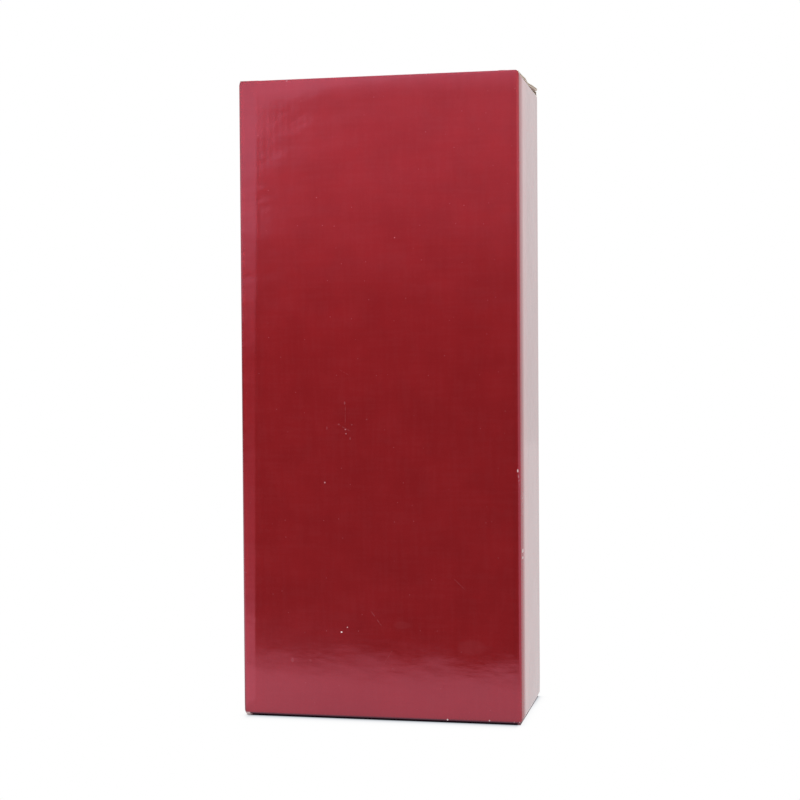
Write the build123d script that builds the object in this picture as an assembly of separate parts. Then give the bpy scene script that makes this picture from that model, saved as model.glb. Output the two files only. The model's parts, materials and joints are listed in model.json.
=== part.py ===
from build123d import *
import os
from math import atan2, cos, degrees, floor, radians, sin, tan

# Carton for two wine bottles, folded from corrugated board. The origin is on the floor, under the
# middle of the carton. The front looks along -Y, the right side along +X. Millimetres.

# Outer size of the closed carton
width = 155.0
depth = 81.0
height = 350.0
lid_rise = 2.6

# The three papers of the board
face_paper = 0.25
liner_paper = 0.25
flute_paper = 0.18
flute_height = 0.8
flute_pitch = 3.5
crest_length = 0.8

# Outer radius of the folds, each taken where the printed face turns
wall_fold_radius = 3.0
lid_fold_radius = 1.3
base_fold_radius = 1.8
side_base_fold_radius = 2.8

# Slit-lock lid
lid_side_inset = 0.5
lid_rest_gap = 0.2
ear_width = 10.5
ear_clearance = 0.15
front_edge_drop = 0.3
slit_width = 0.6
tuck_length = 16.0
tuck_lean = 10.5
tuck_clearance = 0.3
tuck_corner_radius = 7.0
tuck_side_taper = 2.5

# Dust flaps under the lid
dust_length = 58.0
dust_shoulder_clearance = 0.4
dust_step_run = 1.4
dust_notch = 5.0
dust_front_taper = 4.0
dust_back_clearance = 3.0
dust_back_taper = 18.0
dust_corner_radius = 8.0

# Bottom flaps
base_side_margin = 1.0
hook_reach = 12.0
hook_run = 14.0
hook_corner_radius = 5.0
hook_gap = 0.4
side_flap_length = 50.0
side_flap_straight = 12.0
side_flap_tip_width = 34.0
side_flap_margin = 0.5
side_flap_corner_radius = 5.0

# Seam of the sleeve
glue_flap_width = 25.0
glue_flap_thickness = 0.7
glue_flap_end_margin = 8.0
glue_flap_end_cut = 10.0

# Loose divider, Z-shaped in plan
divider_height = 300.0
divider_wing_gap = 6.0
divider_clearance = 0.3

board = face_paper + flute_height + liner_paper
lid_slope = degrees(atan2(lid_rise, depth))
lid_half_width = width / 2 - lid_side_inset
lid_underside = height - board / cos(radians(lid_slope))
side_top = lid_underside - lid_rest_gap
hinge_height = height + lid_rise
divider_wing = width / 2 - board - glue_flap_width - divider_wing_gap


class Fold:
    """A crease: the turn in degrees and the outer radius of the printed face in it."""

    def __init__(self, turn, radius):
        self.half = radians(turn / 2)
        self.radius = radius


wall_fold = Fold(90, wall_fold_radius)
base_fold = Fold(90, base_fold_radius)
side_base_fold = Fold(90, side_base_fold_radius)
dust_fold = Fold(90, lid_fold_radius)
back_fold = Fold(90 + lid_slope, lid_fold_radius)
front_fold = Fold(90 - lid_slope + tuck_lean, lid_fold_radius)


# How far each paper stops short of the sharp corner that a fold's outer faces would make

def face_stop(fold):
    return fold.radius * tan(fold.half)


def core_stop(fold):
    return max(fold.radius, board) * tan(fold.half)


def liner_stop(fold):
    return board * tan(fold.half)


# Flat work: a panel lies in its own XY plane with its outer face at Z = 0 and its papers below it.
# The flutes run along Y.

def rectangle(left, right, near, far):
    return Pos((left + right) / 2, (near + far) / 2) * Rectangle(right - left, far - near)


def rounded_outline(points, radius, rounded):
    """A face through the points, with the corners numbered in rounded made round."""
    face = make_face(Polyline(*points, close=True))
    places = [Vector(*points[i]) for i in rounded]
    corners = [v for v in face.vertices() if min((Vector(v) - place).length for place in places) < 0.001]
    return fillet(corners, radius)


def paper(outline, below, thickness):
    return extrude(Pos(0, 0, -below) * outline, amount=thickness, dir=(0, 0, -1))


def fluting(outline, below, crest):
    """The fluted paper between two liners, its crests touching both, cut to the outline. The crests
    are flat for the length crest, or sharp where it is 0."""
    box = outline.bounding_box()
    waves = floor((box.max.X - box.min.X - crest_length) / flute_pitch)
    start = (box.min.X + box.max.X - waves * flute_pitch) / 2
    high = -below
    low = -below - flute_height + flute_paper
    top_line = [(box.min.X, low)] if crest else [(box.min.X, low), (start, low)]
    for wave in range(waves):
        left = start + wave * flute_pitch
        middle = left + flute_pitch / 2
        if crest:
            top_line += [(left + crest, low), (middle, high), (middle + crest, high)]
            top_line.append((left + flute_pitch, low))
        else:
            top_line += [(middle, high), (left + flute_pitch, low)]
    top_line.append((box.max.X, low))
    under_line = [(x, z - flute_paper) for x, z in reversed(top_line)]
    section = Plane(origin=(0, box.min.Y, 0), x_dir=(1, 0, 0), z_dir=(0, -1, 0)) * make_face(
        Polyline(*top_line, *under_line, close=True))
    sheet = extrude(section, amount=box.max.Y - box.min.Y, dir=(0, 1, 0))
    if abs(outline.area - (box.max.X - box.min.X) * (box.max.Y - box.min.Y)) < 0.001:
        return sheet
    return sheet & paper(outline, below, flute_height)


def lip(corner, inward, span, fold):
    """Half of a fold in the face paper: it leaves the flat face and curls down to the middle of the
    turn. corner is a point on the sharp corner line, inward points into the panel, and the lip runs
    from corner along inward x up for span."""
    reach = face_stop(fold)
    outer = fold.radius
    inner = fold.radius - face_paper

    def arc_point(radius, angle):
        return (reach - radius * sin(angle), radius * cos(angle) - outer)

    section = make_face([
        ThreePointArc(arc_point(outer, 0), arc_point(outer, fold.half / 2), arc_point(outer, fold.half)),
        Line(arc_point(outer, fold.half), arc_point(inner, fold.half)),
        ThreePointArc(arc_point(inner, fold.half), arc_point(inner, fold.half / 2), arc_point(inner, 0)),
        Line(arc_point(inner, 0), arc_point(outer, 0)),
    ])
    along = Vector(*inward).cross(Vector(0, 0, 1))
    frame = Plane(origin=corner, x_dir=inward, z_dir=along)
    return extrude(frame * section, amount=span, dir=along)


def plies(place, outline, lips=(), names=("face_sheet", "fluting", "liner"), crest=crest_length):
    """The three papers of one panel. outline is called with the rule for each paper's stop."""
    face = paper(outline(face_stop), 0, face_paper)
    for one in lips:
        face += one
    core = fluting(outline(core_stop), face_paper, crest)
    liner = paper(outline(liner_stop), face_paper + flute_height, liner_paper)
    return {name: place.location * part for name, part in zip(names, (face, core, liner))}


# Where each panel lies: the origin is on its crease line, Y runs up or away from the crease

def upright(x, y, facing):
    along = Vector(0, 0, 1).cross(Vector(*facing))
    return Plane(origin=(x, y, 0), x_dir=along, z_dir=facing)


front_place = upright(0, -depth / 2, (0, -1, 0))
back_place = upright(0, depth / 2, (0, 1, 0))
right_place = upright(width / 2, 0, (1, 0, 0))
left_place = upright(-width / 2, 0, (-1, 0, 0))

slope = radians(lid_slope)
lean = radians(tuck_lean)
tuck_corner_y = -depth / 2 + board + tuck_clearance
lid_length = (depth / 2 - tuck_corner_y) / cos(slope)
tuck_corner_z = hinge_height - lid_length * sin(slope)
lid_place = Plane(origin=(0, depth / 2, hinge_height), x_dir=(-1, 0, 0), z_dir=(0, -sin(slope), cos(slope)))
tuck_place = Plane(
    origin=(0, tuck_corner_y, tuck_corner_z), x_dir=(-1, 0, 0), z_dir=(0, -cos(lean), -sin(lean)))


def wall(half_width, bottom, bottom_fold, top, top_fold, place):
    """A panel of the sleeve, with its corner folds at both sides and the bottom fold under it."""

    def outline(stop):
        side = half_width - stop(wall_fold)
        return rectangle(-side, side, bottom + stop(bottom_fold), top - (stop(top_fold) if top_fold else 0))

    low = bottom + face_stop(bottom_fold)
    high = top - (face_stop(top_fold) if top_fold else 0)
    flat = half_width - face_stop(wall_fold)
    lips = [
        lip((-half_width, high, 0), (1, 0, 0), high - low, wall_fold),
        lip((half_width, low, 0), (-1, 0, 0), high - low, wall_fold),
        lip((-flat, bottom, 0), (0, 1, 0), 2 * flat, bottom_fold),
    ]
    if top_fold:
        lips.append(lip((flat, top, 0), (0, -1, 0), 2 * flat, top_fold))
    return plies(place, outline, lips)


def lid():
    """The lid panel: its middle ends in the fold to the tuck flap, its two ears end at the slits, close
    behind the front panel's top edge."""
    ear_end = (depth - board - ear_clearance) / cos(slope)
    fold_half_width = lid_half_width - ear_width

    def outline(stop):
        near = stop(back_fold)
        body = rectangle(-lid_half_width, lid_half_width, near, lid_length - stop(front_fold))
        for side in (-1, 1):
            inner_edge, outer_edge = sorted((side * fold_half_width, side * lid_half_width))
            body += rectangle(inner_edge, outer_edge, near, ear_end)
        return body

    lips = [
        lip((-lid_half_width, 0, 0), (0, 1, 0), 2 * lid_half_width, back_fold),
        lip((fold_half_width, lid_length, 0), (0, -1, 0), 2 * fold_half_width, front_fold),
    ]
    return plies(lid_place, outline, lips)


def tuck_flap():
    """The flap that goes down behind the front panel, between the two slits."""
    root = lid_half_width - ear_width - slit_width
    tip = root - tuck_side_taper

    def outline(stop):
        near = stop(front_fold)
        points = [(-root, near), (root, near), (tip, tuck_length), (-tip, tuck_length)]
        return rounded_outline(points, tuck_corner_radius, (2, 3))

    return plies(tuck_place, outline, [lip((-root, 0, 0), (0, 1, 0), 2 * root, front_fold)])


def dust_flap():
    """The right dust flap: a shoulder under the lid's ear, then notched back behind the tuck flap, and
    tapered at the back so that it can rise while the lid opens."""
    front = depth / 2 - board - dust_shoulder_clearance
    notch = front - dust_notch
    notch_start = lid_side_inset + ear_width + slit_width - dust_shoulder_clearance
    back = depth / 2 - board - dust_back_clearance
    tip_front = notch - (dust_length - notch_start) * tan(radians(dust_front_taper))
    tip_back = back - dust_length * tan(radians(dust_back_taper))

    def outline(stop):
        near = stop(dust_fold)
        points = [(-front, near), (back, near), (tip_back, dust_length), (-tip_front, dust_length),
                  (-notch, notch_start), (-front, notch_start - dust_step_run)]
        return rounded_outline(points, dust_corner_radius, (2, 3))

    place = Plane(origin=(width / 2, 0, side_top), x_dir=(0, 1, 0), z_dir=(0, 0, 1))
    return plies(place, outline, [lip((-front, 0, 0), (0, 1, 0), front + back, dust_fold)])


def hooked_flap(place):
    """A bottom flap whose far edge is half of an S, so that it locks into its twin turned half round."""
    side = width / 2 - base_side_margin
    middle = depth / 2
    long_reach = middle + hook_reach - hook_gap / 2
    short_reach = middle - hook_reach - hook_gap / 2

    def outline(stop):
        points = [(-side, stop(base_fold)), (side, stop(base_fold)), (side, long_reach),
                  (hook_run / 2, long_reach), (-hook_run / 2, short_reach), (-side, short_reach)]
        return rounded_outline(points, hook_corner_radius, (3, 4))

    flat = width / 2 - face_stop(wall_fold)
    return plies(place, outline, [lip((-flat, 0, 0), (0, 1, 0), 2 * flat, base_fold)], crest=0)


def side_bottom_flap(place):
    """A bottom flap of a side panel, which lies on top of the two hooked flaps."""
    root = depth / 2 - board - side_flap_margin
    tip = side_flap_tip_width / 2

    def outline(stop):
        near = stop(side_base_fold)
        points = [(-root, near), (root, near), (root, side_flap_straight),
                  (tip, side_flap_length), (-tip, side_flap_length), (-root, side_flap_straight)]
        return rounded_outline(points, side_flap_corner_radius, (3, 4))

    flat = depth / 2 - face_stop(wall_fold)
    return plies(place, outline, [lip((-flat, 0, 0), (0, 1, 0), 2 * flat, side_base_fold)], crest=0)


def glue_flap():
    """The crushed flap of the left panel, glued to the inside of the back panel."""
    inner_x = -width / 2 + board
    inner_y = depth / 2 - board
    low = 2 * board + glue_flap_end_margin
    high = side_top - board - glue_flap_end_margin
    points = [(inner_x, low), (inner_x + glue_flap_width, low + glue_flap_end_cut),
              (inner_x + glue_flap_width, high - glue_flap_end_cut), (inner_x, high)]
    place = Plane(origin=(0, inner_y, 0), x_dir=(1, 0, 0), z_dir=(0, -1, 0))
    shape = place * make_face(Polyline(*points, close=True))
    return extrude(shape, amount=glue_flap_thickness, dir=(0, -1, 0))


def divider():
    """Web across the carton with one wing along the front panel and one along the back panel."""
    floor_height = 2 * board
    inner = depth / 2 - board - divider_clearance
    names = ("outer_liner", "fluting", "inner_liner")

    def flat_board(half_width):
        return lambda stop: rectangle(-half_width, half_width, floor_height, floor_height + divider_height)

    web_place = upright(board / 2, 0, (1, 0, 0))
    wing_middle = (board / 2 + divider_wing) / 2
    wing_half = (divider_wing - board / 2) / 2
    front_wing_place = upright(wing_middle, -inner, (0, -1, 0))
    back_wing_place = upright(-wing_middle, inner, (0, 1, 0))
    return {
        "divider_web": plies(web_place, flat_board(inner), names=names, crest=0),
        "divider_front_wing": plies(front_wing_place, flat_board(wing_half), names=names, crest=0),
        "divider_back_wing": plies(back_wing_place, flat_board(wing_half), names=names, crest=0),
    }


def mirrored(panel):
    return {name: mirror(part, about=Plane.YZ) for name, part in panel.items()}


side_bottom = board
right_dust_flap = dust_flap()
panels = {
    "front_panel": wall(width / 2, 0, base_fold, height - front_edge_drop, None, front_place),
    "back_panel": wall(width / 2, 0, base_fold, hinge_height, back_fold, back_place),
    "left_side_panel": wall(depth / 2, side_bottom, side_base_fold, side_top, dust_fold, left_place),
    "right_side_panel": wall(depth / 2, side_bottom, side_base_fold, side_top, dust_fold, right_place),
    "lid": lid(),
    "tuck_flap": tuck_flap(),
    "right_dust_flap": right_dust_flap,
    "left_dust_flap": mirrored(right_dust_flap),
    "bottom_front_flap": hooked_flap(Plane(origin=(0, -depth / 2, 0), x_dir=(-1, 0, 0), z_dir=(0, 0, -1))),
    "bottom_back_flap": hooked_flap(Plane(origin=(0, depth / 2, 0), x_dir=(1, 0, 0), z_dir=(0, 0, -1))),
    "bottom_right_flap": side_bottom_flap(
        Plane(origin=(width / 2, 0, side_bottom), x_dir=(0, -1, 0), z_dir=(0, 0, -1))),
    "bottom_left_flap": side_bottom_flap(
        Plane(origin=(-width / 2, 0, side_bottom), x_dir=(0, 1, 0), z_dir=(0, 0, -1))),
}
panels.update(divider())

nodes = {"glue_flap": glue_flap()}
for panel_name, papers in panels.items():
    for paper_name, part in papers.items():
        nodes[f"{panel_name}_{paper_name}"] = part

os.makedirs("parts", exist_ok=True)
for node, part in nodes.items():
    part.label = node
    export_step(part, f"parts/{node}.step")
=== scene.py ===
import json
from functools import reduce
from math import atan2, copysign, cos, exp, pi, radians, sin, tan

import bmesh
import bpy
from mathutils import Matrix, Vector


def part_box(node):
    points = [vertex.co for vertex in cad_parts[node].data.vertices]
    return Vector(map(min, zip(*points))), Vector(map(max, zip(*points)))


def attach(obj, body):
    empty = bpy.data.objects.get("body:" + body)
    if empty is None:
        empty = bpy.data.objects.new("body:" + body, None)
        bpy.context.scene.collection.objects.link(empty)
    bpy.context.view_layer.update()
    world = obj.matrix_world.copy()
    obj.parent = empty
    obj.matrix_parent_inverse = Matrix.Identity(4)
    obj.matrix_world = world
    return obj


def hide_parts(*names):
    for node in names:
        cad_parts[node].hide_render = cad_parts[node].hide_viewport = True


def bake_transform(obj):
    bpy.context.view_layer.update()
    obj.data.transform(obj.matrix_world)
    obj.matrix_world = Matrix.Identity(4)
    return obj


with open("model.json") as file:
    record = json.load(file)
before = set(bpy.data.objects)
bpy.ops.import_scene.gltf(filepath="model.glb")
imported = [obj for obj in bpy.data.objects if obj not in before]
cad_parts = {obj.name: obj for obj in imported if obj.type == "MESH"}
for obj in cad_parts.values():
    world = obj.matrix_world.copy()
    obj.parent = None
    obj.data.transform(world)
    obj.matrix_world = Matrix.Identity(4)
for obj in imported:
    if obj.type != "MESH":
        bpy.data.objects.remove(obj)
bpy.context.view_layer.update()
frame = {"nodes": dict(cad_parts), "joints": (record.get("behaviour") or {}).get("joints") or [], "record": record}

# Metres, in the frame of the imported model: the front looks along -Y, the right side along +X.
mm = 0.001

# The clean carton, taken from the frame
front_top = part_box("front_panel_face_sheet")[1].z
half_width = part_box("right_side_panel_face_sheet")[1].x
half_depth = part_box("back_panel_face_sheet")[1].y
lid_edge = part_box("lid_face_sheet")[1].x
dust_flap_low, dust_flap_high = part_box("right_dust_flap_face_sheet")
anchors = {joint["name"]: Vector(joint["pos_m"]) for joint in frame["joints"]}
hinge = anchors["lid_hinge"]
tuck_corner = anchors["tuck_fold"]
side_top = anchors["right_dust_fold"].z
board = 1.3 * mm
face_paper = 0.25 * mm
flute_pitch = 3.5 * mm
wall_radius = 1.8 * mm
lid_radius = 1.3 * mm
front_base_radius = 1.8 * mm
side_base_radius = 2.8 * mm
tuck_lean = radians(10.5)
lid_ear = 10.5 * mm
lid_ear_clearance = 0.6 * mm

# Camera at the photograph's place, worked out from the seven corners of the carton that it shows
camera_place = (0.19363, -0.91237, 0.19567)
camera_turn = (88.6461, 0.3913, 11.7580)
camera_lens = 74.151
sensor_width = 36.0

# Outputs of the coordinate node: the place of a point, and in a world the way of a ray
point_place = 3
ray_way = 0


class Shades:
    """The nodes of one finish. Every node comes from node(), and Value wraps a socket for sums."""

    def __init__(self, owner):
        owner.use_nodes = True
        self.tree = owner.node_tree
        self.tree.nodes.clear()

    def node(self, kind, inputs=None, output=0, **settings):
        made = self.tree.nodes.new("ShaderNode" + kind)
        for name, value in settings.items():
            setattr(made, name, value)
        for name, value in (inputs or {}).items():
            self.join(value, made.inputs[name])
        return Value(self, made.outputs[output]) if made.outputs else None

    def join(self, value, socket):
        if isinstance(value, Value):
            self.tree.links.new(value.socket, socket)
        else:
            socket.default_value = value

    def mix(self, share, first, second):
        """A colour that goes from first to second as share goes from 0 to 1."""
        return self.node("Mix", {0: share, 6: colour(first), 7: colour(second)}, 2, data_type="RGBA")

    def brighten(self, paint, light):
        """A colour times a number."""
        return self.node("VectorMath", {0: paint, "Scale": light}, operation="SCALE")

    def noise(self, where, scale, detail, roughness=0.5, **settings):
        inputs = {"Vector": where, "Scale": scale, "Detail": detail, "Roughness": roughness}
        return self.node("TexNoise", inputs, **settings)

    def stretched(self, where, upwards):
        """The place of a point, for a pattern that is flattened as many times as upwards says."""
        return self.node("Mapping", {"Vector": where, "Scale": (1.0, 1.0, upwards)})

    def place(self, source=point_place):
        """The three coordinates of a point, or of a ray's way."""
        where = self.node("TexCoord", output=source)
        return [self.node("SeparateXYZ", {0: where}, axis) for axis in range(3)]

    def rays(self):
        """1 for a ray from the camera, and 1 for a reflected ray."""
        path = self.node("LightPath").socket.node
        return [Value(self, path.outputs[name]) for name in ("Is Camera Ray", "Is Glossy Ray")]

    def finish(self, surface, kind="Material"):
        self.node("Output" + kind, {"Surface": surface})


class Value:
    """A socket of a finish that is used in sums."""

    def __init__(self, shades, socket):
        self.shades = shades
        self.socket = socket

    def reckon(self, operation, *terms):
        return self.shades.node("Math", dict(enumerate(terms)), operation=operation)

    def __add__(self, other):
        return self.reckon("ADD", self, other)

    __radd__ = __add__

    def __sub__(self, other):
        return self.reckon("SUBTRACT", self, other)

    def __rsub__(self, other):
        return self.reckon("SUBTRACT", other, self)

    def __mul__(self, other):
        return self.reckon("MULTIPLY", self, other)

    __rmul__ = __mul__

    def __truediv__(self, other):
        return self.reckon("DIVIDE", self, other)

    def __rtruediv__(self, other):
        return self.reckon("DIVIDE", other, self)

    def __pow__(self, other):
        return self.reckon("POWER", self, other)

    def __neg__(self):
        return self * -1.0

    def __abs__(self):
        return self.reckon("ABSOLUTE", self)

    def sine(self):
        return self.reckon("SINE", self)

    def exponential(self):
        return self.reckon("EXPONENT", self)

    def least(self, other):
        return self.reckon("MINIMUM", self, other)

    def most(self, other):
        return self.reckon("MAXIMUM", self, other)

    def ramp(self, low, high, from_value=0.0, to_value=1.0):
        """from_value below low, to_value above high, and smooth between them."""
        sockets = {"Value": self, "From Min": low, "From Max": high, "To Min": from_value, "To Max": to_value}
        return self.shades.node("MapRange", sockets, interpolation_type="SMOOTHSTEP")

    def fade(self, low, high):
        """1 below low, 0 above high, and smooth between them."""
        return self.ramp(low, high, 1.0, 0.0)


def colour(value):
    return value if isinstance(value, Value) else (*value, 1.0)


def add(name, data):
    """A new object of the scene, at the origin."""
    made = bpy.data.objects.new(name, data)
    bpy.context.scene.collection.objects.link(made)
    return made


# Colours and gloss of the film, the paper, the worn places and the painted shadow at the foot. A range is where a
# blend starts and ends.

film_red = (0.223, 0.0110, 0.0137)
film_darkest = 0.94
film_lightest = 1.07
film_tones = (0.3, 0.7)
film_glare = (1.0, 0.36, 0.46, 1.0)
film_index = 1.95
film_roughness = 0.09
film_roughness_change = 0.03
kraft = (0.74, 0.65, 0.54)
kraft_dark = (0.63, 0.54, 0.43)
fluting_dark = (0.62, 0.53, 0.42)
torn_paper = (0.98, 0.87, 0.75)
torn_paper_dark = (0.90, 0.78, 0.66)
paper_roughness = 0.85
paper_tones = (0.35, 0.65)
chipped_white = (0.92, 0.80, 0.80)
scuffed_pink = (0.42, 0.16, 0.19)
pink_to_white = (0.25, 0.7)
scuffed_roughness = 0.6
film_to_scuffed = (0.1, 0.6)
chipped_roughness = 0.9
film_to_chipped = (0.6, 0.95)
# Painted shadow: a near-black colour painted at the foot of the front and the back, where the contact shadow falls
painted_shadow = (0.014, 0.006, 0.012)
painted_shadow_top = 2.1 * mm
painted_shadow_blur = 0.35 * mm
painted_shadow_depth = (2.0 * mm, 1.0 * mm)

# Patterns of the board: noise scale, detail, and how high they stand
cloud_scale = 60.0
cloud_detail = 4.0
cloud_share = 0.6
grain_scale = 1500.0
grain_detail = 2.0
grain_height = 0.0018 * mm
ragged_scale = 900.0
ragged_detail = 4.0
wave_scale = 26.0
wave_detail = 3.0
wave_roughness = 0.55
wave_flattened = 1.7
wave_height = 0.22 * mm
ripple_scale = 110.0
ripple_detail = 5.0
ripple_roughness = 0.6
ripple_flattened = 3.0
ripple_height = 0.03 * mm
flute_height = 0.0016 * mm
chip_depth = 0.03 * mm
fleck_scale = 1400.0
fleck_detail = 3.0
fleck_height = 0.02 * mm
fleck_strength = 0.6

# Marks on the front: place across and up, half width and half height, how much of the print is gone
specks = [
    (-21.5, 47.8, 0.55, 0.40, 1.0), (-18.2, 50.5, 0.35, 0.35, 0.6), (-30.3, 129.6, 0.50, 0.50, 0.45),
    (9.6, 262.3, 0.35, 0.35, 0.35), (-33.7, 285.0, 0.35, 0.35, 0.30), (-50.0, 349.0, 0.6, 0.4, 0.40),
    (37.0, 1.9, 0.5, 0.5, 0.9), (59.9, 2.2, 0.45, 0.45, 0.7), (-12.0, 48.6, 0.3, 0.3, 0.30),
    (-49.4, 31.6, 0.8, 1.4, 0.16), (-39.2, 31.7, 0.7, 0.7, 0.12), (-30.0, 48.2, 0.3, 0.3, 0.30),
    (-18.8, 173.0, 0.40, 0.90, 0.26), (-28.9, 159.4, 0.35, 0.90, 0.18), (-22.2, 161.4, 0.60, 0.45, 0.22),
    (-18.5, 158.6, 0.50, 0.35, 0.38), (-18.2, 156.3, 0.50, 0.40, 0.36), (-14.9, 161.2, 0.45, 0.35, 0.24),
    (-15.9, 153.7, 0.40, 0.70, 0.22), (-6.6, 164.1, 0.50, 0.40, 0.16), (75.9, 136.7, 0.45, 1.00, 0.60),
    (73.3, 1.9, 0.40, 0.35, 0.50), (76.4, 1.9, 0.60, 0.40, 0.60),
]
# Scratches on the front: from place, to place, half width, strength
scratches = [
    ((-5.2, 60.0), (1.3, 51.3), 0.22, 0.22), ((1.6, 30.2), (7.2, 39.2), 0.20, 0.16),
    ((40.8, 78.4), (47.5, 72.0), 0.18, 0.16), ((-18.4, 172.0), (-18.6, 160.0), 0.20, 0.12),
    ((-22.0, 161.0), (-15.5, 157.6), 0.30, 0.14), ((-22.0, 191.5), (-16.0, 188.0), 0.20, 0.14),
    ((76.1, 135.4), (77.2, 126.0), 0.40, 0.42),
]
scratch_gaps = (0.35, 0.6)
# Smudges in the gloss: place, half width and half height, strength
smudges = [(12.2, 52.4, 5.0, 2.2, 0.008), (50.9, 41.4, 8.0, 4.5, 0.008)]
# How a blot and a stroke fade: across their edges, and along a stroke at its start and its end
blot_edge = (0.35, 1.3)
stroke_edge = (0.4, 1.4)
stroke_start = (0.0, 0.15)
stroke_end = (0.8, 1.0)
# Fine rubs in the gloss, upwards and across
rub_scale = 420.0
rub_detail = 3.0
rub_squeezed = 0.1
rub_ragged_share = 0.6
rub_range = (1.15, 1.6)
rub_strength = 0.0035
rub_pinkness = 4.0
rub_roughness = 2.0
# Shallow dents low on the front: place, half width and half height, how far out
dents = [(30.5, 24.0, 7.0, 9.0, -0.20), (70.0, 24.0, 9.0, 9.0, -0.18), (-41.0, 24.0, 9.0, 9.0, 0.13),
         (-3.0, 24.0, 8.0, 9.0, -0.07), (47.0, 24.0, 7.0, 8.0, 0.05)]
# Dust and pinholes all over: how far apart, how wide, how strong, and how their cells are picked
dust_spacing = 10.0 * mm
dust_radius = 0.24 * mm
dust_blur = 0.01
dust_strength = 0.30
dust_widths = (0.5, 0.8)
dust_strengths = (0.55, 0.8)
# Chips on the side, close behind its front fold: place back and up, half width and half height, strength
side_chips = [(-34.5, 122.0, 2.8, 3.6, 0.55), (-33.5, 114.5, 2.4, 3.0, 0.50), (-30.5, 125.5, 2.0, 0.8, 0.50),
              (-34.0, 93.4, 3.6, 1.1, 1.0), (-34.0, 89.6, 3.4, 0.9, 1.0), (-36.0, 301.0, 1.6, 0.9, 0.20)]
chip_wander_back = 6.0 * mm
chip_wander_up = 3.0 * mm
chip_gaps = (0.36, 0.50)
# The worn patch at the bottom left corner: weights across, back and up, raggedness, its edge, strength
patch_weights = (0.35, 0.30, 2.25)
patch_ragged = 3.0 * mm
patch_edge = (2.3 * mm, 3.8 * mm)
patch_strength = 0.85
# Rubbed places on all four upright folds
fold_rub_reach = 1.2 * mm
fold_rub_patches = (0.60, 0.66)
fold_rub_strength = 0.5
# The side bulges beside its front fold, and the front leans back towards its top edge
bulge_reach = 14.0 * mm
bulge_low = 60.0 * mm
bulge_high = 300.0 * mm
bulge_tilt_low = radians(16.0)
bulge_tilt_high = radians(9.5)
lean_reach = 12.7 * mm
lean_scale = 8.0 * mm
lean_power = 2.5
lean_depth = 0.145 * mm
# Where the board is crushed flat beside the left front fold: a band with a straight inner edge
band_low_edge = -71.2 * mm
band_high_edge = -68.0 * mm
band_tilt = radians(2.6)
band_crease = 0.9 * mm
# How much painted light the print gets on that band low down, and how much painted shade high up
band_painted_light = 0.12
band_painted_light_range = (20.0 * mm, 70.0 * mm)
band_painted_shade_share = 1.4
band_painted_shade_range = (200.0 * mm, 330.0 * mm)
# A painted highlight line on the band, beside the fold, and a line of painted shade beside the right fold
line_place = 2.5 * mm
line_edge = (0.2 * mm, 0.8 * mm)
line_gaps = (0.35, 0.6)
painted_highlight_line = 0.14
painted_shade_line_place = 74.0 * mm
painted_shade_line_edge = (0.4 * mm, 1.4 * mm)
painted_shade_line_amount = 0.05
# Painted shade on the outer half of the left fold, painted light on the right fold, and painted shade on the flat
# of the side
left_fold_across = (1.8 * mm, 0.5 * mm)
left_fold_back = (2.4 * mm, 1.5 * mm)
left_fold_up = (50.0 * mm, 300.0 * mm)
left_fold_painted_shade = 0.5
left_fold_painted_shade_top = 0.5
right_fold_range = (1.9 * mm, 0.1 * mm)
right_fold_painted_light = 0.32
side_flat_range = (22.0 * mm, 36.0 * mm)
side_painted_shade = 0.18
# How far in from its plane a point still counts as on the front or on the side
front_margin = (0.6 * mm, 0.1 * mm)
side_margin = (0.4 * mm, 0.1 * mm)


def blot(across, up, place, half_across, half_up):
    """1 in the middle of an oval and 0 outside it."""
    return (((across - place[0] * mm) / (half_across * mm)) ** 2
            + ((up - place[1] * mm) / (half_up * mm)) ** 2).fade(*blot_edge)


def stroke(across, up, start, end, half_wide):
    """1 along a line from start to end and 0 beside it."""
    run = Vector(end) - Vector(start)
    along = run.normalized()
    a = across - start[0] * mm
    b = up - start[1] * mm
    passed = (a * along.x + b * along.y) / (run.length * mm)
    aside = abs(b * along.x - a * along.y) / (half_wide * mm)
    return aside.fade(*stroke_edge) * passed.ramp(*stroke_start) * passed.fade(*stroke_end)


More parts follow.
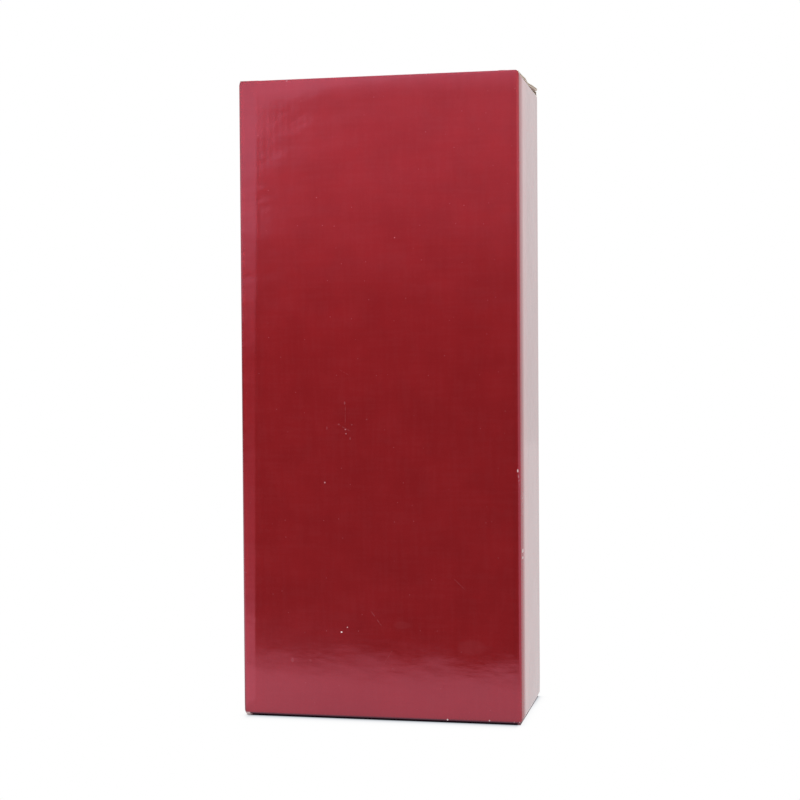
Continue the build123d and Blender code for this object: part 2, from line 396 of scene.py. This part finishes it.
class PrintedFace(Shades):
    """Red print under a gloss film over slightly wavy board, with the marks of use, and with painted light, shade
    and shadow.
    """

    def __init__(self, material):
        super().__init__(material)
        self.where = self.node("TexCoord", output=point_place)
        self.x, self.y, self.z = self.place()
        self.clouds = self.noise(self.where, cloud_scale, cloud_detail)
        self.grain = self.noise(self.where, grain_scale, grain_detail)
        self.ragged = self.noise(self.where, ragged_scale, ragged_detail)
        self.on_front = (-self.y).ramp(*[half_depth - margin for margin in front_margin])
        self.on_side = self.x.ramp(*[half_width - margin for margin in side_margin])

    def bare(self):
        """How far the print is gone."""
        marks = [blot(self.x, self.z, (across, up), wide, high) * gone
                 for across, up, wide, high, gone in specks]
        marks += [stroke(self.x, self.z, start, end, wide) * gone * self.ragged.ramp(*scratch_gaps)
                  for start, end, wide, gone in scratches]
        on_front = reduce(Value.most, marks) * self.on_front
        marks = [on_front, self.dust(), self.worn_patch(), self.rubbed_folds()]
        torn_y = self.y + (self.clouds - 0.5) * chip_wander_back
        torn_z = self.z + (self.ragged - 0.5) * chip_wander_up
        torn = self.on_side * self.ragged.ramp(*chip_gaps)
        marks += [blot(torn_y, torn_z, (back, up), wide, high) * gone * torn
                  for back, up, wide, high, gone in side_chips]
        return reduce(Value.most, marks)

    def dust(self):
        spread_out = self.node("CombineXYZ", {0: self.x + self.y, 1: self.z})
        cells = {"Vector": spread_out, "Scale": 1.0 / dust_spacing}
        away = self.node("TexVoronoi", cells, voronoi_dimensions="2D")
        chance = Value(self, away.socket.node.outputs["Color"])
        wide = chance.ramp(*dust_widths) * (dust_radius / dust_spacing)
        return (wide - away).ramp(-dust_blur, dust_blur) * chance.ramp(*dust_strengths) * dust_strength

    def worn_patch(self):
        across, back, up = patch_weights
        beside = (self.x + half_width) ** 2 * across
        behind = (self.y + half_depth) ** 2 * back
        away = (beside + behind + self.z ** 2 * up) ** 0.5
        return (away + (self.ragged - 0.5) * patch_ragged).ramp(*patch_edge, patch_strength, 0.0)

    def rubbed_folds(self):
        across = (abs(self.x) - (half_width - fold_rub_reach)).ramp(0.0, mm)
        back = (abs(self.y) - (half_depth - fold_rub_reach)).ramp(0.0, mm)
        patches = (self.ragged * 0.5 + self.clouds * 0.5).ramp(*fold_rub_patches)
        return across * back * patches * fold_rub_strength

    def haze(self):
        """Fine rubs and smudges that dull the gloss."""
        along = self.x + self.y
        upward = self.node("CombineXYZ", {0: along, 1: self.z * rub_squeezed})
        across = self.node("CombineXYZ", {0: along * rub_squeezed, 1: self.z})
        rubs = [self.noise(way, rub_scale, rub_detail, noise_dimensions="2D") for way in (upward, across)]
        haze = (rubs[0] + rubs[1] + self.ragged * rub_ragged_share).ramp(*rub_range) * rub_strength
        for across_mm, up_mm, wide, high, strength in smudges:
            haze = haze + blot(self.x, self.z, (across_mm, up_mm), wide, high) * self.on_front * strength
        return haze

    def light(self):
        """Painted light and shade: how much lighter or darker than its own colour the print is made to look."""
        x, y, z = self.x, self.y, self.z
        # Painted light low on the crushed band, and painted shade high on it
        edge = z * ((band_high_edge - band_low_edge) / front_top) + band_low_edge
        lit = (z.ramp(*band_painted_light_range) - z.ramp(*band_painted_shade_range) * band_painted_shade_share) * band_painted_light
        light = (edge - x).ramp(-band_crease, band_crease) * self.on_front * lit + 1.0
        # A painted highlight line beside the left fold, and a line of painted shade beside the right fold
        line = abs(x + (half_width - line_place)).fade(*line_edge) * self.on_front
        light = light + line * self.clouds.ramp(*line_gaps) * painted_highlight_line
        light = light - abs(x - painted_shade_line_place).fade(*painted_shade_line_edge) * self.on_front * painted_shade_line_amount
        # Painted shade on the left fold, painted light on the right fold, and painted shade on the flat of the
        # side
        left_fold = (-x).ramp(*[half_width - reach for reach in left_fold_across])
        left_fold = left_fold * (-y).ramp(*[half_depth - reach for reach in left_fold_back])
        light = light - left_fold * z.ramp(*left_fold_up, 1.0, left_fold_painted_shade_top) * left_fold_painted_shade
        light = light + x.ramp(*[half_width - reach for reach in right_fold_range]) * right_fold_painted_light
        side_flat = (y + half_depth).ramp(*side_flat_range) * self.on_side
        return light - side_flat * (right_fold_painted_light + side_painted_shade)

    def painted_shadow_share(self):
        """Painted shadow: the dark rim at the foot of the front and the back, where the contact shadow falls."""
        low = self.z.fade(painted_shadow_top - painted_shadow_blur, painted_shadow_top + painted_shadow_blur)
        return low * abs(self.y).ramp(*[half_depth - depth for depth in painted_shadow_depth])

    def bulges(self):
        """The bulge of the side, the lean of the front's top, and the dents low on the front."""
        behind_fold = (self.y + half_depth - wall_radius).most(0.0).least(bulge_reach)
        tilt = self.z.ramp(bulge_low, bulge_high, tan(bulge_tilt_low), tan(bulge_tilt_high))
        height = (behind_fold - behind_fold ** 2 / (2 * bulge_reach)) * tilt * self.on_side
        for across, up, wide, high, out in dents:
            reach = ((self.x - across * mm) / (wide * mm)) ** 2 + ((self.z - up * mm) / (high * mm)) ** 2
            height = height + (reach * -0.5).exponential() * self.on_front * (out * mm)
        leaning = (self.z - front_top + lean_reach).most(0.0) / lean_scale
        return height - leaning ** lean_power * lean_depth * self.on_front

    def relief(self, bare):
        where = self.stretched(self.where, wave_flattened)
        waves = self.noise(where, wave_scale, wave_detail, wave_roughness)
        where = self.stretched(self.where, ripple_flattened)
        ripples = self.noise(where, ripple_scale, ripple_detail, ripple_roughness)
        flutes = ((self.x + self.y) * (2 * pi / flute_pitch)).sine()
        height = (waves * wave_height + ripples * ripple_height + self.grain * grain_height
                  + flutes * flute_height - bare * chip_depth + self.bulges())
        return self.node("Bump", {"Height": height, "Distance": 1.0, "Strength": 1.0})

    def paint(self, bare, haze):
        tone = self.clouds * cloud_share + self.grain * (1 - cloud_share)
        darkest, lightest = [[part * share for part in film_red] for share in (film_darkest, film_lightest)]
        # The print's colour times its painted light and shade
        paint = self.brighten(self.mix(tone.ramp(*film_tones), darkest, lightest), self.light())
        paint = self.mix((haze * rub_pinkness).least(1.0), paint, scuffed_pink)
        paint = self.mix(bare, paint, self.mix(bare.ramp(*pink_to_white), scuffed_pink, chipped_white))
        # Painted shadow at the foot, where the print is not gone
        return self.mix(self.painted_shadow_share() * (1 - bare), paint, painted_shadow)


def printed_face():
    material = bpy.data.materials.new("printed_face")
    shades = PrintedFace(material)
    bare = shades.bare()
    haze = shades.haze()
    paint = shades.paint(bare, haze)
    normal = shades.relief(bare)
    roughness = (bare.ramp(*film_to_scuffed, film_roughness, scuffed_roughness) + haze * rub_roughness
                 + (shades.clouds - 0.5) * film_roughness_change)
    film = shades.node("BsdfPrincipled", {
        "Base Color": paint, "Roughness": roughness, "IOR": film_index,
        "Specular Tint": film_glare, "Normal": normal})
    chipped = shades.node("BsdfPrincipled", {
        "Base Color": paint, "Roughness": chipped_roughness, "Specular IOR Level": 0.0, "Normal": normal})
    shades.finish(shades.node("MixShader", {0: bare.ramp(*film_to_chipped), 1: film, 2: chipped}))
    return material


def plain_paper(name, light, dark):
    """Raw paper with flecks and a cloudy tone."""
    material = bpy.data.materials.new(name)
    shades = Shades(material)
    where = shades.node("TexCoord", output=point_place)
    clouds = shades.noise(where, cloud_scale, cloud_detail)
    fleck = shades.noise(where, fleck_scale, fleck_detail)
    tone = clouds * cloud_share + fleck * (1 - cloud_share)
    relief = {"Height": fleck * fleck_height, "Distance": 1.0, "Strength": fleck_strength}
    shades.finish(shades.node("BsdfPrincipled", {
        "Base Color": shades.mix(tone.ramp(*paper_tones), dark, light), "Roughness": paper_roughness,
        "Normal": shades.node("Bump", relief)}))
    return material


finishes = {
    "printed_face": printed_face(),
    "kraft_liner": plain_paper("kraft_liner", kraft, kraft_dark),
    "fluting_paper": plain_paper("fluting_paper", kraft, fluting_dark),
    "crushed_board": plain_paper("crushed_board", kraft, kraft_dark),
}
paper_edge = plain_paper("paper_edge", torn_paper, torn_paper_dark)
for sub_part in frame["record"]["subparts"]:
    mesh = frame["nodes"][sub_part["node"]].data
    mesh.materials.clear()
    mesh.materials.append(finishes[sub_part["material_slot"]])


# Printed face sheets: each is a solid sheet between an outer surface and the same surface moved in

fold_steps = 10
corner_step = 1.0 * mm
corner_zone = 12.0 * mm
field_step = 3.5 * mm
probe = 0.02 * mm
# The edge of the crushed band bends over five columns, and other columns keep clear of them
band_bends = (-1.0, -0.5, 0.0, 0.5, 1.0)
band_clear = 1.5 * band_crease
slant_reach = 4.5 * mm
# The front's top edge rolls in
top_roll = 0.10 * mm
top_roll_height = 1.1 * mm
top_roll_bends = (0.75, 0.5, 0.25)
# Knocked corners: place, push, reach
knocked_corners = [
    (Vector((-half_width, -half_depth, 0.0)), Vector((0.10, 0.10, 0.14)) * mm, 4.0 * mm),
    (Vector((half_width, half_depth, 0.0)), Vector((-0.12, -0.12, 0.15)) * mm, 7.0 * mm),
]
# How far the side panels stay above the floor, and how far below a wall's top its corner folds end
side_base = 0.4 * mm
front_corner_drop = 0.5 * mm
back_corner_drop = 2.0 * mm


def smooth(value, low, high):
    share = min(max((value - low) / (high - low), 0.0), 1.0)
    return share * share * (3 - 2 * share)


def eased(value, ease):
    """0 below -ease, the value above ease, and a smooth bend between."""
    if abs(value) < ease:
        return (value + ease) ** 2 / (4 * ease)
    return max(value, 0.0)


def band_edge(z):
    return band_low_edge + (band_high_edge - band_low_edge) * z / front_top


def worn(point):
    """Where a point of the clean printed face lies on the used carton."""
    x, y, z = point
    front_share = 1 - smooth(y + half_depth, 0.0, wall_radius)
    pushed = Vector(point)
    pushed.y += eased(band_edge(z) - x, band_crease) * tan(band_tilt) * front_share
    roll = max(z - (front_top - top_roll_height), 0.0) / top_roll_height
    pushed.y += top_roll * roll * roll * front_share
    for place, push, reach in knocked_corners:
        pushed += push * exp(-((point - place).length / reach) ** 2)
    return pushed


def steps(low, high):
    """Values from low to high, close together near both ends and wider apart between."""
    ends = [low + corner_step * i for i in range(round(corner_zone / corner_step))]
    span = high - low - 2 * corner_zone
    count = max(round(span / field_step), 1)
    middle = [low + corner_zone + span * i / count for i in range(count + 1)]
    return ends + middle + [high + low - value for value in reversed(ends)]


def printed_sheet(name, node, body, wall):
    """A sheet of face paper whose outer surface is the worn surface of a wall."""
    columns = wall.columns()
    rows = wall.rows()

    def at(column, row):
        return worn(wall.surface(column, row))

    form = bmesh.new()
    # The way that each point faces stays with it until the mesh takes it, so that the gloss is even
    facing = form.verts.layers.float_vector.new("facing")
    bmesh.ops.create_grid(form, x_segments=len(columns) - 1, y_segments=len(rows) - 1, size=1.0)
    places = dict(zip(form.verts, [(column, row) for row in rows for column in columns]))
    cut_away = []
    for face in form.faces:
        middle = [sum(places[vert][way] for vert in face.verts) / 4 for way in range(2)]
        if wall.left_out(*middle):
            cut_away.append(face)
    for vert, (column, row) in places.items():
        across = at(column + probe, row) - at(column - probe, row)
        up = at(column, row + probe) - at(column, row - probe)
        vert.co = at(column, row)
        vert[facing] = across.cross(up).normalized()
    bmesh.ops.delete(form, geom=cut_away, context="FACES")
    outer = form.verts[:] + form.edges[:] + form.faces[:]
    inner = bmesh.ops.extrude_face_region(form, geom=outer, use_keep_orig=True)["geom"]
    for part in inner:
        if isinstance(part, bmesh.types.BMVert):
            part.co -= part[facing] * face_paper
            part[facing] = -part[facing]
    printed = {part for part in outer if isinstance(part, bmesh.types.BMFace)}
    papers = printed.union(part for part in inner if isinstance(part, bmesh.types.BMFace))
    for face in form.faces:
        face.smooth = face in papers
        face.material_index = 0 if face in printed else 1
    bmesh.ops.recalc_face_normals(form, faces=form.faces)
    mesh = bpy.data.meshes.new(name)
    form.to_mesh(mesh)
    form.free()
    turned = [tuple(value.vector) for value in mesh.attributes["facing"].data]
    mesh.attributes.remove(mesh.attributes["facing"])
    mesh.normals_split_custom_set([
        turned[v] if face.use_smooth else (0, 0, 0) for face in mesh.polygons for v in face.vertices])
    mesh.materials.append(finishes["printed_face"])
    mesh.materials.append(paper_edge)
    piece = add(name, mesh)
    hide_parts(node)
    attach(piece, body)


def fold_values(turn, radius):
    """Lengths along a fold from its middle to where it leaves the flat face."""
    return [turn * radius * (1 - i / fold_steps) for i in range(fold_steps)]


class Wall:
    """A wall of the sleeve as a surface. The column runs along the wall and round half of each corner
    fold, the row runs up from the middle of the bottom fold, through the flat, to the top."""

    def __init__(self, facing, half, reach, bottom, next_bottom, top, top_turn, corner_top):
        self.facing = Vector(facing)
        self.along = Vector((0, 0, 1)).cross(self.facing)
        self.flat = half - wall_radius
        self.reach = reach
        self.bottom, self.radius = bottom
        self.next_bottom, self.next_radius = next_bottom
        self.top_turn = top_turn
        self.flat_top = top - lid_radius * tan(top_turn)
        self.corner_top = corner_top
        self.rise = self.flat_top - self.bottom - self.radius

    def surface(self, column, row):
        turn = copysign(max(abs(column) - self.flat, 0.0) / wall_radius, column)
        toward_next = sin(turn) ** 2
        radius = self.radius + (self.next_radius - self.radius) * toward_next
        low = self.bottom + (self.next_bottom - self.bottom) * toward_next + radius
        high = self.flat_top + (self.corner_top - self.flat_top) * sin(2 * turn) ** 2
        under = max(-row, 0.0) / self.radius
        over = max(row - self.rise, 0.0) / lid_radius
        pull = radius * (1 - cos(under)) + lid_radius * (1 - cos(over))
        share = min(max(row / self.rise, 0.0), 1.0)
        height = low + (high - low) * share - radius * sin(under) + lid_radius * sin(over)
        sideways = min(max(self.slanted(column, height), -self.flat), self.flat)
        sideways += (wall_radius - pull) * sin(turn)
        out = self.reach - wall_radius + (wall_radius - pull) * cos(turn)
        return self.along * sideways + self.facing * out + Vector((0, 0, height))

    def slanted(self, column, height):
        return column

    def columns(self):
        fold = [self.flat + length for length in fold_values(pi / 4, wall_radius)]
        return [-v for v in fold] + steps(-self.flat, self.flat) + fold[::-1]

    def rows(self):
        low = [-v for v in fold_values(pi / 4, self.radius)]
        high = [self.rise + v for v in fold_values(self.top_turn, lid_radius)[::-1]] if self.top_turn else []
        return low + steps(0.0, self.rise) + high

    def left_out(self, column, row):
        """The corner folds end at the creases at the top, where the flaps are cut free."""
        return row > self.rise and abs(column) > self.flat


class FrontWall(Wall):
    """The front, with columns that follow the edge of the crushed band."""

    band_column = (band_low_edge + band_high_edge) / 2

    def slanted(self, column, height):
        share = max(1 - abs(column - self.band_column) / slant_reach, 0.0)
        return column + (band_edge(height) - self.band_column) * share

    def columns(self):
        band = [self.band_column + band_crease * share for share in band_bends]
        beside = [column for column in super().columns() if abs(column - self.band_column) > band_clear]
        return sorted(beside + band)

    def rows(self):
        return sorted(super().rows() + [self.rise - top_roll_height * share for share in top_roll_bends])


def printed_walls():
    lid_slope = atan2(hinge.z - tuck_corner.z, hinge.y - tuck_corner.y)
    front_bottom = (0.0, front_base_radius)
    side_bottom = (side_base, side_base_radius)
    walls = {
        "front_panel": FrontWall((0, -1, 0), half_width, half_depth, front_bottom, side_bottom,
                                 front_top, 0.0, front_top - front_corner_drop),
        "back_panel": Wall((0, 1, 0), half_width, half_depth, front_bottom, side_bottom,
                           hinge.z, pi / 4 + lid_slope / 2, hinge.z - back_corner_drop),
        "right_side_panel": Wall((1, 0, 0), half_depth, half_width, side_bottom, front_bottom,
                                 side_top, pi / 4, side_top),
        "left_side_panel": Wall((-1, 0, 0), half_depth, half_width, side_bottom, front_bottom,
                                side_top, pi / 4, side_top),
    }
    for name, wall in walls.items():
        printed_sheet(name + "_print", name + "_face_sheet", "sleeve", wall)


# Creases that bridge two bodies: a thin printed strip just inside the fold

crease_depth = 0.03 * mm
crease_thickness = 0.18 * mm
crease_overlap = 0.9 * mm
crease_stations = 12


def crease(name, corner, into_first, into_second, low, high):
    """A strip round the fold at corner, from low to high along its axis. The two directions run from
    the corner into the panels on either side."""
    into_first = Vector(into_first).normalized()
    into_second = Vector(into_second).normalized()
    half_turn = (pi - into_first.angle(into_second)) / 2
    inwards = (into_first + into_second).normalized()
    axis = into_first.cross(into_second).normalized()
    centre = corner + inwards * lid_radius / cos(half_turn)
    section = []
    for depth in (crease_depth, crease_depth + crease_thickness):
        line = []
        for i in range(2 * fold_steps + 1):
            turned = Matrix.Rotation(half_turn * (i / fold_steps - 1), 3, axis) @ -inwards
            line.append(centre + turned * (lid_radius - depth))
        line.insert(0, line[0] + into_first * crease_overlap)
        line.append(line[-1] + into_second * crease_overlap)
        section.append(line)
    along = Vector([abs(part) for part in axis])
    form = bmesh.new()
    end = form.faces.new([form.verts.new(point + along * low) for point in section[0] + section[1][::-1]])
    inner_edges = end.edges[len(section[0]):-1]
    strip = bmesh.ops.extrude_face_region(form, geom=[end], use_keep_orig=True)["geom"]
    moved = [part for part in strip if isinstance(part, bmesh.types.BMVert)]
    bmesh.ops.translate(form, verts=moved, vec=along * (high - low))
    for edge in inner_edges:
        for face in edge.link_faces:
            face.material_index = 0 if face == end else 1
    for n in range(1, crease_stations):
        station = centre + along * (low + (high - low) * n / crease_stations)
        parts = form.verts[:] + form.edges[:] + form.faces[:]
        bmesh.ops.bisect_plane(form, geom=parts, plane_co=station, plane_no=along)
    bmesh.ops.recalc_face_normals(form, faces=form.faces)
    mesh = bpy.data.meshes.new(name)
    form.to_mesh(mesh)
    form.free()
    mesh.materials.append(finishes["printed_face"])
    mesh.materials.append(finishes["kraft_liner"])
    piece = add(name, mesh)
    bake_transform(piece)


def creases():
    along_lid = (tuck_corner - hinge).normalized()
    tuck_root = lid_edge - lid_ear - lid_ear_clearance
    tuck_way = Vector((0, sin(tuck_lean), -cos(tuck_lean)))
    crease("back_crease", hinge, (0, 0, -1), along_lid, -lid_edge, lid_edge)
    crease("tuck_crease", tuck_corner, -along_lid, tuck_way, -tuck_root, tuck_root)
    for side, name in ((1, "right_dust"), (-1, "left_dust")):
        corner = Vector((side * half_width, 0, side_top))
        crease(name + "_crease", corner, (0, 0, -1), (-side, 0, 0),
               dust_flap_low.y, dust_flap_high.y)


# The lid's raw right edge, pressed down and crushed in use: place along the carton, how far down

lid_press = [(-40.5, 0.15), (-38.5, 0.45), (-35.0, 0.75), (-24.0, 0.80), (-9.0, 0.60), (-3.0, 1.30),
             (0.0, 1.70), (7.0, 1.50), (15.0, 1.15), (31.0, 0.50), (40.5, 0.20)]
lid_press_reach = 9.0 * mm
lid_press_step = 1.5 * mm
lid_rest_height = side_top + 0.05 * mm
lid_torn_edge = 1.2 * mm
# How far the crushed edge spreads to the side, and from which place back
lid_spread = 0.45 * mm
lid_spread_from = 20.0 * mm
# Faces that look less far up than this are torn near the edge, or unprinted anywhere
torn_below = 0.5
unprinted_below = -0.2
weld = 0.0001 * mm
cut_margin = 0.01 * mm


def lid_drop(y):
    for (start, high), (end, low) in zip(lid_press, lid_press[1:]):
        if y <= end * mm:
            share = min(max((y / mm - start) / (end - start), 0.0), 1.0)
            return (high + (low - high) * share) * mm
    return lid_press[-1][1] * mm


def pressed(point):
    """Where a point of the clean lid lies on the used one."""
    slope = (hinge.z - tuck_corner.z) / (hinge.y - tuck_corner.y)
    top = tuck_corner.z + (point.y - tuck_corner.y) * slope
    bottom = top - board
    drop = lid_drop(point.y) * smooth(point.x, lid_edge - lid_press_reach, lid_edge)
    low = max(bottom - drop, min(bottom, lid_rest_height))
    out = smooth(point.x, lid_edge - lid_torn_edge, lid_edge) * smooth(point.y, 0.0, lid_spread_from)
    height = low + (point.z - bottom) * (top - drop - low) / board
    return Vector((point.x + out * lid_spread, point.y, height))


def cut_finely(form):
    """Cuts the faces near the lid's right edge into small ones."""
    across = round(lid_press_reach / lid_press_step)
    cuts = [((lid_edge - lid_press_step * i, 0, 0), (1, 0, 0)) for i in range(across, 0, -1)]
    along = int(2 * half_depth / lid_press_step)
    cuts += [((0, half_depth - lid_press_step * i, 0), (0, 1, 0)) for i in range(1, along + 1)]
    from_x = lid_edge - lid_press_reach + cut_margin
    for place, normal in cuts:
        near = [face for face in form.faces if max(vert.co.x for vert in face.verts) > from_x]
        parts = set(near)
        for face in near:
            parts.update(face.edges)
            parts.update(face.verts)
        bmesh.ops.bisect_plane(form, geom=list(parts), plane_co=place, plane_no=normal)


def pressed_paper(paper, finish):
    """A copy of one paper of the lid with its right edge pressed and torn."""
    node = "lid_" + paper
    form = bmesh.new()
    form.from_mesh(frame["nodes"][node].data)
    bmesh.ops.remove_doubles(form, verts=form.verts, dist=weld)
    cut_finely(form)
    for vert in form.verts:
        vert.co = pressed(vert.co)
    for face in form.faces:
        face.smooth = False
        torn = face.calc_center_median().x > lid_edge - lid_torn_edge and face.normal.z < torn_below
        unprinted = finish == "printed_face" and face.normal.z < unprinted_below
        face.material_index = 1 if torn or unprinted else 0
    mesh = bpy.data.meshes.new("used_" + node)
    form.to_mesh(mesh)
    form.free()
    mesh.materials.append(finishes[finish])
    mesh.materials.append(paper_edge)
    piece = add("used_" + node, mesh)
    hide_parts(node)
    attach(piece, "lid")


def pressed_lid():
    pressed_paper("face_sheet", "printed_face")
    pressed_paper("fluting", "fluting_paper")
    pressed_paper("liner", "kraft_liner")


# Studio: a white sweep with its front edge near the carton, a dark room in front, light from above

surround = 1.0
surround_rise = 0.5
daylight = 0.97
daylight_right = 0.55
daylight_range = (0.0, 0.8)
window_tint = (1.0, 1.30, 1.55)
window_start = 0.03
window_growth = 2.5
window_most = 1.1
left_room = (0.325, 0.365)
left_room_slant = 0.35
left_room_glow = 0.05
left_room_growth = 6.0
right_room = (-0.10, 0.85)
room_depth = 0.25
least_ahead = 0.02
# The front edge of the sweep, how blurred it looks, and how bright the paper is behind and in front
sweep_edge = -0.197
sweep_slant = 0.20
sweep_blur = 0.045
sweep_blur_left = 0.085
sweep_blur_range = (-0.06, 0.03)
sweep_back = 1.06
sweep_front = 1.28
sweep_front_left = 1.42
sweep_left_range = (0.02, 0.09)
sweep_front_reach = 0.02
sweep_front_tint = (1.0, 0.84, 0.95)
sweep_colour = (0.85, 0.85, 0.85)
sweep_toe = 0.18
sweep_toe_from = 0.25
sweep_toe_reach = 0.085
sweep_toe_range = (0.05, 0.10)
sweep_right_range = (0.0, 0.6)
# The paper at the left, as the crushed band shows it: where it starts, how bright it is near and far,
# and how much brighter everything is there
left_paper_from = 0.07
left_paper_near = 0.056
left_paper_far = 0.22
left_paper_more = 0.25
nearest_run = 0.05
# Shadows on the sweep: how dark at the foot, and how far they reach
shadow_tint = (0.75, 0.85, 1.0)
shadow_reach = 1.3 * mm
shadow_depth = 0.42
shadow_start = 0.3 * mm
side_shadow_start = 1.45 * mm
side_shadow_flat = 0.3 * mm
side_shadow_reach = 1.1 * mm
side_shadow_depth = 0.50
side_shadow_least = 0.2
side_shadow_from = -10.0 * mm
side_shadow_corner = (4.0 * mm, 2.0 * mm)
front_shadow_reach = 2.8 * mm
front_shadow_depth = 0.65
gap_range = (1.5 * mm, 7.0 * mm)
gap_side_share = 8.0
dim_reach = 9.0 * mm
sweep_half_size = 3.0
black = (0.0, 0.0, 0.0)
white = (1.0, 1.0, 1.0)


def studio_world():
    """White to the camera. In the gloss: a bluish window glow that grows upwards and to the left, a
    lighter room at the left, a white room at the right and behind."""
    world = bpy.data.worlds.new("studio")
    bpy.context.scene.world = world
    shades = Shades(world)
    x, y, z = shades.place(ray_way)
    ahead = (-y).most(least_ahead)
    in_front = y.fade(-room_depth, 0.0)
    left = (-x) / ahead
    rise = z.most(0.0) / ahead
    at_left = (left + rise * left_room_slant).ramp(*left_room)
    window = ((rise - window_start) * window_growth).most(0.0)
    window = (window + at_left * (rise * left_room_growth + left_room_glow)).least(window_most) * in_front
    open_share = ((-left).ramp(*right_room) * in_front).most(1 - in_front)
    from_camera, reflected = shades.rays()
    tint = shades.mix(reflected, white, shades.mix(open_share, window_tint, white))
    seen = window.most(open_share * (z.most(0.0) * surround_rise + surround))
    day = x.ramp(*daylight_range, daylight, daylight_right)
    strength = from_camera.most(reflected * seen).most((1 - from_camera) * (1 - reflected) * day)
    shades.finish(shades.node("Background", {"Color": tint, "Strength": strength}), "World")


def foot_shadow(x, y, beside, before, after):
    """How dark the sweep is at a place beside, before or after the foot of the carton."""
    shadow = (-(beside + before + after) / shadow_reach).exponential() * shadow_depth
    front = (-before / front_shadow_reach - beside / shadow_reach).exponential() * front_shadow_depth
    away = (x - (half_width - side_shadow_start)).most(0.0) + before + after
    side = ((side_shadow_flat - away) / side_shadow_reach).exponential().least(1.0)
    side = side * y.ramp(side_shadow_from, half_depth, side_shadow_least, 1.0) * side_shadow_depth
    side = side * x.ramp(*[half_width - reach for reach in side_shadow_corner])
    return shadow.most(side).most(front * before.ramp(0.0, shadow_start))


def reflected_sweep(x, y, in_front):
    """How bright the gloss shows the sweep at a place."""
    bright = (-x).ramp(*sweep_left_range, sweep_front, sweep_front_left)
    bright = in_front * (bright - sweep_back) + sweep_back
    blur = x.ramp(*sweep_blur_range, sweep_blur_left, sweep_blur)
    paper = (y - (sweep_edge + sweep_slant * x)).ramp(-blur, blur) * bright
    run = ((-y) - half_depth).most(nearest_run)
    toe = ((sweep_toe_from - run) / sweep_toe_reach).exponential().least(1.0) * (-x).ramp(*sweep_toe_range)
    paper = paper.most(toe * sweep_toe * in_front)
    paper = paper.most(((x - half_width) / run).ramp(*sweep_right_range) * sweep_back)
    aside = (((-x) - left_paper_from) / run).ramp(*left_room) * in_front
    left_paper = (left_paper_near / run ** 2 + left_paper_far).least(1.0)
    return paper.most(aside * left_paper) * (aside * left_paper_more + 1.0)


def sweep_paper():
    """White to the camera but for the shadow round the foot of the carton."""
    material = bpy.data.materials.new("sweep_paper")
    shades = Shades(material)
    x, y, z = shades.place()
    beside = (abs(x) - (half_width - side_base_radius)).most(0.0)
    before = ((-y) - (half_depth - front_base_radius)).most(0.0)
    after = (y - (half_depth - front_base_radius)).most(0.0)
    away = beside + before + after
    shown = (1 - foot_shadow(x, y, beside, before, after)) * away.ramp(0.0, shadow_start)
    in_front = (-y).ramp(half_depth, half_depth + sweep_front_reach)
    paper = reflected_sweep(x, y, in_front)
    paper = paper * (before + (beside + after) * gap_side_share).ramp(*gap_range)
    from_camera, reflected = shades.rays()
    tint = shades.mix(shown, shadow_tint, shades.mix(reflected * in_front, white, sweep_front_tint))
    glow = shades.brighten(tint, from_camera * shown + reflected * paper)
    seen = shades.node("BsdfPrincipled", {
        "Base Color": colour(black), "Roughness": 1.0, "Specular IOR Level": 0.0,
        "Emission Color": glow, "Emission Strength": 1.0})
    matt = shades.node("BsdfPrincipled", {
        "Base Color": shades.mix(away.ramp(0.0, dim_reach), black, sweep_colour),
        "Roughness": 1.0, "Specular IOR Level": 0.0})
    shades.finish(shades.node("MixShader", {0: from_camera.most(reflected), 1: matt, 2: seen}))
    return material


def floor():
    form = bmesh.new()
    bmesh.ops.create_grid(form, x_segments=1, y_segments=1, size=sweep_half_size)
    mesh = bpy.data.meshes.new("floor")
    form.to_mesh(mesh)
    form.free()
    mesh.materials.append(sweep_paper())
    sweep = add("floor", mesh)


def lamp(name, place, target, wide, high, watts, spread=180.0):
    data = bpy.data.lights.new(name, "AREA")
    data.shape = "RECTANGLE"
    data.size = wide
    data.size_y = high
    data.spread = radians(spread)
    data.energy = watts
    made = add(name, data)
    made.location = place
    made.rotation_euler = (Vector(target) - Vector(place)).to_track_quat("-Z", "Y").to_euler()
    made.visible_glossy = False


def camera():
    data = bpy.data.cameras.new("photo_camera")
    data.lens = camera_lens
    data.sensor_width = sensor_width
    made = add("photo_camera", data)
    made.location = camera_place
    made.rotation_euler = [radians(angle) for angle in camera_turn]
    bpy.context.scene.camera = made


printed_walls()
creases()
pressed_lid()
studio_world()
floor()
lamp("window_light", place=(-0.55, -0.75, 0.95), target=(0.0, 0.0, 0.25), wide=0.6, high=0.6, watts=6.0)
lamp("top_light", place=(0.03, -0.34, 0.58), target=(0.02, -0.04, 0.3164), wide=0.6, high=0.08,
     watts=0.12, spread=24.0)
camera()
bpy.context.scene.view_settings.view_transform = "Standard"
